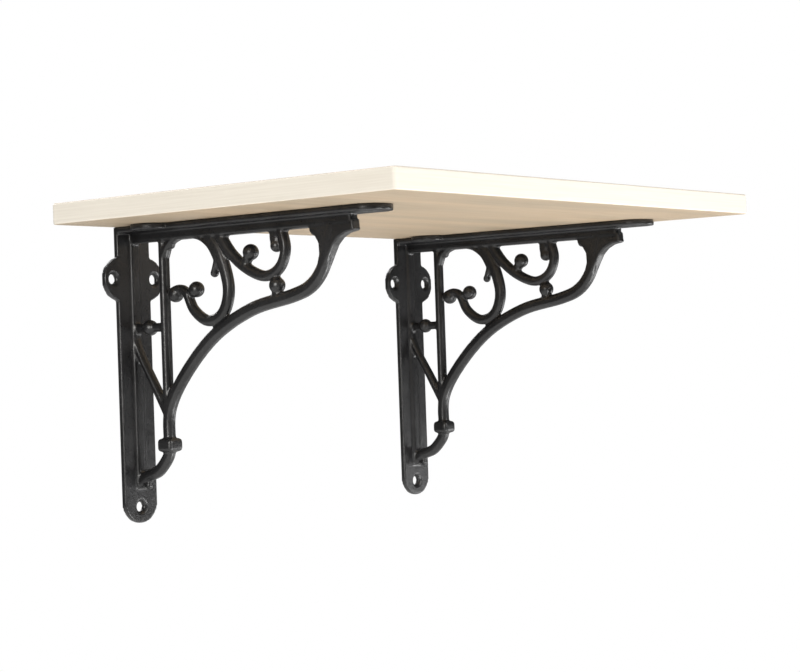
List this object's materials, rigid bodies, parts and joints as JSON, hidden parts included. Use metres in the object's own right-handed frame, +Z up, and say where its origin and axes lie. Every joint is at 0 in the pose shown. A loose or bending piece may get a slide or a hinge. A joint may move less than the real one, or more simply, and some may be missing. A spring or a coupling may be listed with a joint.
{
  "type": "wall shelf with brackets",
  "caption": "Small wooden wall shelf board screwed onto two black cast-iron scroll brackets, each with an eared wall plate, a flange and an arched web of scrolls.",
  "frame": {"origin": "on the wall plane, halfway between the left bracket's two upper wall holes", "axes": "+X along the wall towards the right bracket, +Y into the wall, +Z up; the shelf stands out towards -Y"},
  "size_m": [0.4, 0.29, 0.214],
  "materials": {
    "board": "pale lacquered wood, satin",
    "bracket_iron": "satin black cast iron",
    "screw_steel": "black-japanned steel, satin"
  },
  "bodies": {
    "root": {"shelf_board": "board", "bracket_left": "bracket_iron", "bracket_right": "bracket_iron", "shelf_screw_left_rear_outer": "screw_steel", "shelf_screw_left_rear_inner": "screw_steel", "shelf_screw_left_front": "screw_steel", "shelf_screw_right_rear_outer": "screw_steel", "shelf_screw_right_rear_inner": "screw_steel", "shelf_screw_right_front": "screw_steel"}
  },
  "joints": []
}
